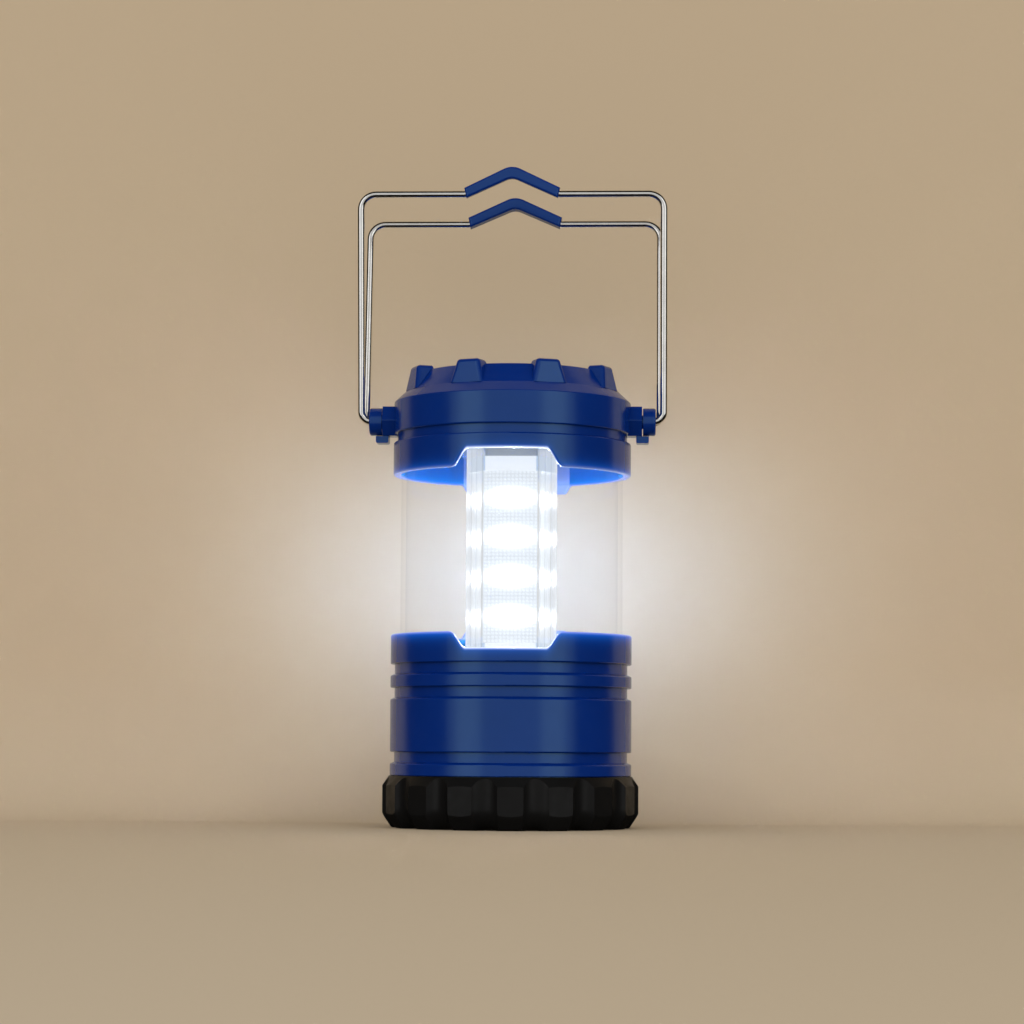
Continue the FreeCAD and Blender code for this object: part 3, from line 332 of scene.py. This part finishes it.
def beaded_window_tree():
    """Bowed window with rows of lens beads on its outside. The attribute glow holds the painted light of the
    LEDs behind it, and bead rises from 0 between the beads to 1 on top of them."""
    bow_steps, length_steps, bead_sink, bead_share = 25, 65, 0.15, 0.47
    patch_length, patch_width, patch_fade = 0.31, 0.48, 2.2
    fade_start, fade_end, light_past_end = 1.55, 2.0, 0.03
    tree = bpy.data.node_groups.new("beaded_window", "GeometryNodeTree")
    tree.interface.new_socket("Geometry", in_out="OUTPUT", socket_type="NodeSocketGeometry")
    for name, kind in (("Width", "Float"), ("Length", "Float"), ("Crown", "Float"), ("Bulge", "Float"),
                       ("Wall", "Float"), ("Middle", "Float"), ("Turn", "Float"), ("Columns", "Int"),
                       ("Rows", "Int"), ("Bead Height", "Float"), ("LED Pitch", "Float"),
                       ("Finish", "Material")):
        tree.interface.new_socket(name, in_out="INPUT", socket_type="NodeSocket" + kind)
    add = node_maker(tree)
    calc = math_maker(add)
    size = add("NodeGroupInput").outputs
    half = calc("DIVIDE", size["Width"], 2)

    def bowed(mesh, depth):
        """Flat grid moved onto the bow, depth behind its outside."""
        flat = add("ShaderNodeSeparateXYZ", {0: add("GeometryNodeInputPosition").outputs[0]}).outputs
        drop = calc("MULTIPLY", calc("POWER", calc("DIVIDE", flat["X"], half), 2), size["Bulge"])
        rise = calc("SUBTRACT", calc("SUBTRACT", size["Crown"], depth), drop)
        point = add("ShaderNodeCombineXYZ", {0: flat["X"], 1: flat["Y"], 2: rise}).outputs[0]
        return add("GeometryNodeSetPosition", {"Geometry": mesh, "Position": point}).outputs[0]

    sheet = add("GeometryNodeMeshGrid", {"Size X": size["Width"], "Size Y": size["Length"],
                                         "Vertices X": bow_steps, "Vertices Y": length_steps}).outputs["Mesh"]
    back = bowed(sheet, size["Wall"])
    front = add("GeometryNodeExtrudeMesh", {"Mesh": back, "Offset Scale": size["Wall"], "Individual": False})
    lining = add("GeometryNodeFlipFaces", {"Mesh": back}).outputs[0]
    shell = add("GeometryNodeJoinGeometry")
    tree.links.new(front.outputs["Mesh"], shell.inputs[0])
    tree.links.new(lining, shell.inputs[0])
    closed = add("GeometryNodeMergeByDistance", {"Geometry": shell.outputs[0], "Distance": 0.01 * MM})

    pitch = calc("DIVIDE", size["Width"], calc("ADD", size["Columns"], 1.0))
    row_step = calc("DIVIDE", size["Length"], size["Rows"])
    grid_width = calc("MULTIPLY", pitch, calc("SUBTRACT", size["Columns"], 1.0))
    grid_length = calc("SUBTRACT", size["Length"], row_step)
    grid = add("GeometryNodeMeshGrid", {"Size X": grid_width, "Size Y": grid_length,
                                        "Vertices X": size["Columns"], "Vertices Y": size["Rows"]})
    spots = bowed(grid.outputs["Mesh"], calc("MULTIPLY", size["Bead Height"], bead_sink))
    ball = add("GeometryNodeMeshUVSphere", {"Segments": 8, "Rings": 5, "Radius": 1.0}).outputs["Mesh"]
    top = add("ShaderNodeSeparateXYZ", {0: add("GeometryNodeInputPosition").outputs[0]}).outputs["Z"]
    marked = add("GeometryNodeStoreNamedAttribute", {"Geometry": ball, "Name": "bead", "Value": top},
                 data_type="FLOAT", domain="POINT").outputs[0]
    bead_width, bead_length = calc("MULTIPLY", pitch, bead_share), calc("MULTIPLY", row_step, bead_share)
    scale = add("ShaderNodeCombineXYZ", {0: bead_width, 1: bead_length, 2: size["Bead Height"]}).outputs[0]
    seat = add("ShaderNodeSeparateXYZ", {0: add("GeometryNodeInputPosition").outputs[0]}).outputs["X"]
    slope = calc("MULTIPLY", calc("DIVIDE", seat, calc("POWER", half, 2)), calc("MULTIPLY", size["Bulge"], 2))
    outward = add("ShaderNodeCombineXYZ", {0: slope, 2: 1.0}).outputs[0]
    aim = add("FunctionNodeAlignRotationToVector", {"Vector": outward}, axis="Z").outputs[0]
    beads = add("GeometryNodeInstanceOnPoints", {"Points": spots, "Instance": marked, "Rotation": aim,
                                                 "Scale": scale}).outputs[0]

    joined = add("GeometryNodeJoinGeometry")
    tree.links.new(closed.outputs[0], joined.inputs[0])
    tree.links.new(beads, joined.inputs[0])
    whole = add("GeometryNodeRealizeInstances", {"Geometry": joined.outputs[0]})
    spot = add("ShaderNodeSeparateXYZ", {0: add("GeometryNodeInputPosition").outputs[0]}).outputs
    pitches = calc("DIVIDE", spot["Y"], size["LED Pitch"])
    along = calc("POWER", calc("DIVIDE", calc("SUBTRACT", calc("FRACT", pitches), 0.5), patch_length), 2)
    across = calc("POWER", calc("DIVIDE", calc("DIVIDE", spot["X"], size["Width"]), patch_width), 2)
    light = calc("EXPONENT", calc("MULTIPLY", calc("ADD", along, across), -patch_fade))
    past_last = add("ShaderNodeMapRange", {"Value": pitches, "From Min": fade_start, "From Max": fade_end,
                                           "To Min": 1.0, "To Max": light_past_end}).outputs[0]
    glowing = add("GeometryNodeStoreNamedAttribute", {"Geometry": whole.outputs[0], "Name": "glow",
                                                      "Value": calc("MULTIPLY", light, past_last)},
                  data_type="FLOAT", domain="POINT")
    turn = add("ShaderNodeCombineXYZ", {0: math.radians(90), 2: size["Turn"]}).outputs[0]
    lift = add("ShaderNodeCombineXYZ", {2: size["Middle"]}).outputs[0]
    placed = add("GeometryNodeTransform", {"Geometry": glowing.outputs[0], "Translation": lift,
                                           "Rotation": turn}).outputs[0]
    smooth = add("GeometryNodeSetShadeSmooth", {"Geometry": placed}).outputs[0]
    finished = add("GeometryNodeSetMaterial", {"Geometry": smooth, "Material": size["Finish"]}).outputs[0]
    add("NodeGroupOutput", {0: finished})
    return tree


def grown(name, tree, **sizes):
    """Plain mesh object from a geometry tree with the given sizes."""
    host = bpy.data.objects.new(name, bpy.data.meshes.new(name))
    bpy.context.scene.collection.objects.link(host)
    modifier = host.modifiers.new("shape", "NODES")
    modifier.node_group = tree
    for socket in tree.interface.items_tree:
        if socket.in_out == "INPUT":
            modifier[socket.identifier] = sizes[socket.name.lower().replace(" ", "_")]
    graph = bpy.context.evaluated_depsgraph_get()
    mesh = bpy.data.meshes.new_from_object(host.evaluated_get(graph))
    host.modifiers.clear()
    host.data = mesh
    return host


def lit_window():
    """Milky acrylic with the LEDs' light behind it painted as emission: blown-out patches over the LEDs and a
    beaded veil between them, brighter on top of each bead.
    """
    core_light, core_power, halo_light, halo_power = 240.0, 3.0, 0.45, 0.25
    veil_light, bead_light = 0.70, 0.22
    material, tree, shader, place = start_material("diffuser_plastic")
    shader.inputs["Base Color"].default_value = (0.10, 0.11, 0.12, 1)
    shader.inputs["Emission Color"].default_value = (0.90, 0.955, 1.0, 1)
    glow = tree.nodes.new("ShaderNodeAttribute")
    glow.attribute_name = "glow"
    bead = tree.nodes.new("ShaderNodeAttribute")
    bead.attribute_name = "bead"
    add = node_maker(tree)
    calc = math_maker(add)
    # Painted light: hot cores and halos over the LEDs, and a veil between them that is brighter on top of
    # each bead.
    core = calc("MULTIPLY", calc("POWER", glow.outputs["Fac"], core_power), core_light)
    halo = calc("MULTIPLY", calc("POWER", glow.outputs["Fac"], halo_power), halo_light)
    veil = calc("ADD", calc("MULTIPLY", bead.outputs["Fac"], bead_light), veil_light)
    tree.links.new(calc("ADD", veil, calc("ADD", core, halo)), shader.inputs["Emission Strength"])
    tree.links.new(spread(tree, noise(tree, place, 1 * MM), 0.25, 0.4), shader.inputs["Roughness"])
    return material


window_tree = beaded_window_tree()
window_finish = lit_window()
window_low, window_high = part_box("diffuser_front")
for side, turn in (("front", 0), ("right", 120), ("left", 240)):
    window = grown("beaded_window_" + side, window_tree, width=window_high.x - window_low.x,
                   length=window_high.z - window_low.z, crown=-window_low.y, bulge=1.6 * MM, wall=0.9 * MM,
                   middle=(window_low.z + window_high.z) / 2, turn=math.radians(turn), columns=14, rows=48,
                   bead_height=0.22 * MM, led_pitch=14.2 * MM, finish=window_finish)
    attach(window, "head")
    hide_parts("diffuser_" + side)


def lamp_glass(name, tint):
    """Clear acrylic that bends what is seen through it and lets the LEDs' light pass, with a painted glow
    over its faces that grows towards its edges.
    """
    acrylic_index, bent_share, edge_glow, edge_power, face_glow = 1.49, 0.55, 0.7, 1.5, 0.12
    material, tree, shader, place = start_material(name)
    add = node_maker(tree)
    calc = math_maker(add)
    smear = spread(tree, noise(tree, place, 4 * MM), 0.0, 0.04)
    bent = add("ShaderNodeBsdfGlass", {"Color": (*tint, 1), "IOR": acrylic_index,
                                       "Roughness": smear}).outputs[0]
    straight = add("ShaderNodeBsdfTransparent", {"Color": (*tint, 1)}).outputs[0]
    path = add("ShaderNodeLightPath").outputs
    seen = calc("MAXIMUM", path["Is Camera Ray"], path["Is Transmission Ray"])
    share = calc("MULTIPLY", seen, bent_share)
    clear = add("ShaderNodeMixShader", {0: share, 1: straight, 2: bent}).outputs[0]
    # Painted glow of the LEDs' light caught in the acrylic: faint over its faces, stronger at its edges.
    painted_glow = add("ShaderNodeEmission", {"Color": (0.92, 0.96, 1.0, 1), "Strength": 0.95}).outputs[0]
    slant = add("ShaderNodeLayerWeight", {"Blend": 0.5}).outputs["Facing"]
    edge = calc("MULTIPLY", calc("POWER", slant, edge_power), edge_glow)
    glow = calc("MULTIPLY", calc("ADD", edge, face_glow), seen)
    mixed = add("ShaderNodeMixShader", {0: glow, 1: clear, 2: painted_glow}).outputs[0]
    tree.links.new(mixed, tree.nodes["Material Output"].inputs["Surface"])
    tree.nodes.remove(shader)
    return material


dress(lamp_glass("column_clear", (0.97, 0.98, 1.0)), "column_cover")


# Clear tube: the acrylic sleeve that carries the head and slides down into the body. Fine scratches from the
# sliding catch the light of the LEDs, painted on as a faint veil of glow.
def clear_plastic(name, tint, veil, edge):
    """Clear acrylic: seen straight through, with a painted glow as a veil and reflections that grow to its
    edges.
    """
    edge_power, face_gloss = 5.0, 0.01
    material, tree, shader, place = start_material(name)
    add = node_maker(tree)
    calc = math_maker(add)
    slant = add("ShaderNodeLayerWeight", {"Blend": 0.5}).outputs["Facing"]
    front = calc("SUBTRACT", 1.0, add("ShaderNodeNewGeometry").outputs["Backfacing"])
    through = add("ShaderNodeBsdfTransparent", {"Color": (*tint, 1)}).outputs[0]
    # Painted glow of the LEDs' light caught in the scratches, patchy like them.
    lit = add("ShaderNodeEmission", {"Color": (0.90, 0.89, 0.86, 1)}).outputs[0]
    scratch_glow = spread(tree, noise(tree, place, 3 * MM, 6.0), 0.85 * veil, 1.15 * veil)
    front_scratch_glow = calc("MULTIPLY", scratch_glow, front)
    veiled = add("ShaderNodeMixShader", {0: front_scratch_glow, 1: through, 2: lit}).outputs[0]
    gloss = add("ShaderNodeBsdfGlossy", {"Roughness": 0.05}).outputs[0]
    edge_gloss = calc("MULTIPLY", calc("POWER", slant, edge_power), edge)
    share = calc("MULTIPLY", calc("ADD", edge_gloss, face_gloss), front)
    mixed = add("ShaderNodeMixShader", {0: share, 1: veiled, 2: gloss}).outputs[0]
    tree.links.new(mixed, tree.nodes["Material Output"].inputs["Surface"])
    tree.nodes.remove(shader)
    return material


dress(clear_plastic("tube_clear", (0.992, 0.995, 1.0), veil=0.012, edge=0.35), "clear_tube")


# Cap: a blue skirt with a window cut into the front of its rim and a ceiling over the column, and a domed top
# with eight grip lugs, screwed on from below. A small driver board stands on the ceiling.
skirt_blue = blue_moulded("skirt_blue")
# The LEDs' light in the skirt's rim and bore is painted on as a glow.
lit_rim(skirt_blue, rim=125.6 * MM, way=-1, level=0.4, bore=40.1 * MM, notch_depth=6.3 * MM,
        notch_foot=29.0 * MM, notch_rim=36.6 * MM, tab_glow=0.3)
dress(skirt_blue, "cap_skirt")
blue_plastic = blue_moulded("blue_plastic")
dress(blue_plastic, "top_cap")
dress(screw_steel, "cap_screws")
dress(green_board, "driver_board")
board_parts = moulded_plastic("board_parts", (0.012, 0.012, 0.013), (0.02, 0.02, 0.021), 0.4, 0.55)
dress(board_parts, "driver_parts")


# Handle pivots: a round blue knob pressed into each hub of the cap, held by a spring clip from below. Each
# knob has two countersunk holes for the feet of the wires.
dress(blue_plastic, "pivot_knob_left", "pivot_knob_right", "pivot_clip_left", "pivot_clip_right")


# Handles: two bails bent from polished steel wire, each with a chevron grip of blue plastic moulded on. The
# feet of each wire turn inwards and sit in the holes of the pivot knobs.
polished_wire = plated_metal("handle_wire", (0.76, 0.75, 0.72), (0.86, 0.85, 0.82), 0.12, 0.18)
dress(polished_wire, "front_handle_wire", "rear_handle_wire")
dress(blue_plastic, "front_handle_grip", "rear_handle_grip")


# Studio: a pale floor, a sheet of the same paper that curves up behind the lantern, and a wide soft light
# with two brighter strips behind the camera. Reflections show little but these lights and the paper's colour,
# which gives the round body its shape. All of them are turned with the camera, a little to the right.
studio_turn = math.radians(2.7)
paper_colour = (0.63, 0.51, 0.36)


def studio(x, y, z):
    """Point of the studio, turned about the lantern's axis with the camera."""
    cos, sin = math.cos(studio_turn), math.sin(studio_turn)
    return Vector((x * cos - y * sin, x * sin + y * cos, z))


def paper():
    """Plain paper with a paler patch painted behind the LEDs for the pool of their light. It is clear from
    behind, so that it never hides the lantern."""
    pool_width, pool_height, pool_level, painted_pool_colour = 0.075, 0.050, 0.096, (0.97, 0.98, 0.98)
    material, tree, shader, place = start_material("paper")
    shader.inputs["Roughness"].default_value = 1
    shader.inputs["Specular IOR Level"].default_value = 0
    fibres = spread(tree, noise(tree, place, 4 * MM), 0, 1)
    add = node_maker(tree)
    calc = math_maker(add)
    spot = add("ShaderNodeSeparateXYZ", {0: place}).outputs
    # The pool of the LEDs' light is painted into the paper's colour.
    aside = calc("POWER", calc("DIVIDE", spot["X"], pool_width), 2)
    above = calc("POWER", calc("DIVIDE", calc("SUBTRACT", spot["Z"], pool_level), pool_height), 2)
    painted_pool = calc("EXPONENT", calc("MULTIPLY", calc("ADD", aside, above), -1.0))
    tone = calc("MULTIPLY", painted_pool, spread(tree, fibres, 0.97, 1.0, 0, 1))
    tree.links.new(two_tone(tree, tone, paper_colour, painted_pool_colour), shader.inputs["Base Color"])
    clear = add("ShaderNodeBsdfTransparent").outputs[0]
    behind = add("ShaderNodeNewGeometry").outputs["Backfacing"]
    mixed = add("ShaderNodeMixShader", {0: behind, 1: shader.outputs[0], 2: clear}).outputs[0]
    tree.links.new(mixed, tree.nodes["Material Output"].inputs["Surface"])
    return material


paper_finish = paper()


def paper_strip(name, half_width, profile):
    """Paper drawn out sideways from a (y, z) profile that runs away from the camera."""
    points = [studio(side * half_width, y, z) for y, z in profile for side in (-1, 1)]
    faces = [(2 * k, 2 * k + 1, 2 * k + 3, 2 * k + 2) for k in range(len(profile) - 1)]
    mesh = bpy.data.meshes.new(name)
    mesh.from_pydata(points, [], faces)
    mesh.materials.append(paper_finish)
    mesh.shade_smooth()
    strip = bpy.data.objects.new(name, mesh)
    bpy.context.scene.collection.objects.link(strip)
    return strip


floor_half = 4.0
wall_distance, wall_half_width, wall_height = 0.11, 0.26, 1.2
bend, bend_steps = 0.06, 15
angles = [math.radians(90 / bend_steps * k) for k in range(bend_steps + 1)]
curve = [(wall_distance - bend * (1 - math.sin(a)), bend * (1 - math.cos(a))) for a in angles]
floor = paper_strip("floor", floor_half, [(-floor_half, 0), (floor_half, 0)])
floor.visible_glossy = False
paper_strip("backdrop", wall_half_width, curve + [(wall_distance, wall_height)])

world = bpy.data.worlds.new("studio")
bpy.context.scene.world = world
world.use_nodes = True
world.cycles.sampling_method = "NONE"
add_world = node_maker(world.node_tree)
world_calc = math_maker(add_world)
path = add_world("ShaderNodeLightPath").outputs
way = add_world("ShaderNodeSeparateXYZ", {0: add_world("ShaderNodeTexCoord").outputs["Generated"]}).outputs
rear_start, rear_full = 0.40, 0.50
rear = add_world("ShaderNodeMapRange", {"Value": way["Y"], "From Min": rear_start, "From Max": rear_full},
                 interpolation_type="SMOOTHSTEP").outputs[0]
above_floor = world_calc("MULTIPLY", rear, world_calc("GREATER_THAN", way["Z"], 0.0))
mirrored = world_calc("MULTIPLY", path["Is Glossy Ray"], above_floor)
seen = world_calc("MAXIMUM", path["Is Camera Ray"], path["Is Transmission Ray"])
plain = world_calc("MAXIMUM", mirrored, seen)
dim_room, fill_light, fill_colour = 0.02, 0.50, (1.0, 0.99, 0.97, 1)
dark = add_world("ShaderNodeBackground", {"Color": (*paper_colour, 1), "Strength": dim_room}).outputs[0]
fill = add_world("ShaderNodeBackground", {"Color": fill_colour, "Strength": fill_light}).outputs[0]
wall = add_world("ShaderNodeBackground", {"Color": (*paper_colour, 1), "Strength": 1.0}).outputs[0]
lit = add_world("ShaderNodeMixShader", {0: path["Is Glossy Ray"], 1: fill, 2: dark}).outputs[0]
both = add_world("ShaderNodeMixShader", {0: plain, 1: lit, 2: wall}).outputs[0]
world.node_tree.links.new(both, world.node_tree.nodes["World Output"].inputs["Surface"])


def softbox(name, place, target, width, height, radiance):
    """Rectangular soft light aimed at a point, by the brightness of its face."""
    lamp = bpy.data.lights.new(name, "AREA")
    lamp.shape = "RECTANGLE"
    lamp.size = width
    lamp.size_y = height
    lamp.energy = radiance * math.pi * width * height
    holder = bpy.data.objects.new(name, lamp)
    holder.location = place
    holder.rotation_euler = (Vector(target) - Vector(place)).to_track_quat("-Z", "Y").to_euler()
    holder.visible_camera = False
    bpy.context.scene.collection.objects.link(holder)


light_level, light_height = 0.55, 1.7
light_target = (0, 0, light_level)
front_distance, side_distance, side_offset = 1.5, 1.35, 1.15
softbox("front_light", studio(0, -front_distance, light_level), light_target, width=5.6,
        height=light_height, radiance=0.6)
for side in (-1, 1):
    softbox("side_light", studio(side_offset * side, -side_distance, light_level), light_target, width=0.75,
            height=light_height, radiance=0.65)

camera_distance, camera_height, camera_roll, aim_height = 1.02, 0.030, math.radians(0.35), 0.1129
camera_data = bpy.data.cameras.new("camera")
camera_data.lens = 100
camera = bpy.data.objects.new("camera", camera_data)
camera.location = studio(0, -camera_distance, camera_height)
aim_point = Vector((0, 0, aim_height))
roll = Quaternion((0, 0, 1), camera_roll)
camera.rotation_euler = ((aim_point - camera.location).to_track_quat("-Z", "Y") @ roll).to_euler()
bpy.context.scene.collection.objects.link(camera)
bpy.context.scene.camera = camera
bpy.context.scene.view_settings.view_transform = "Standard"
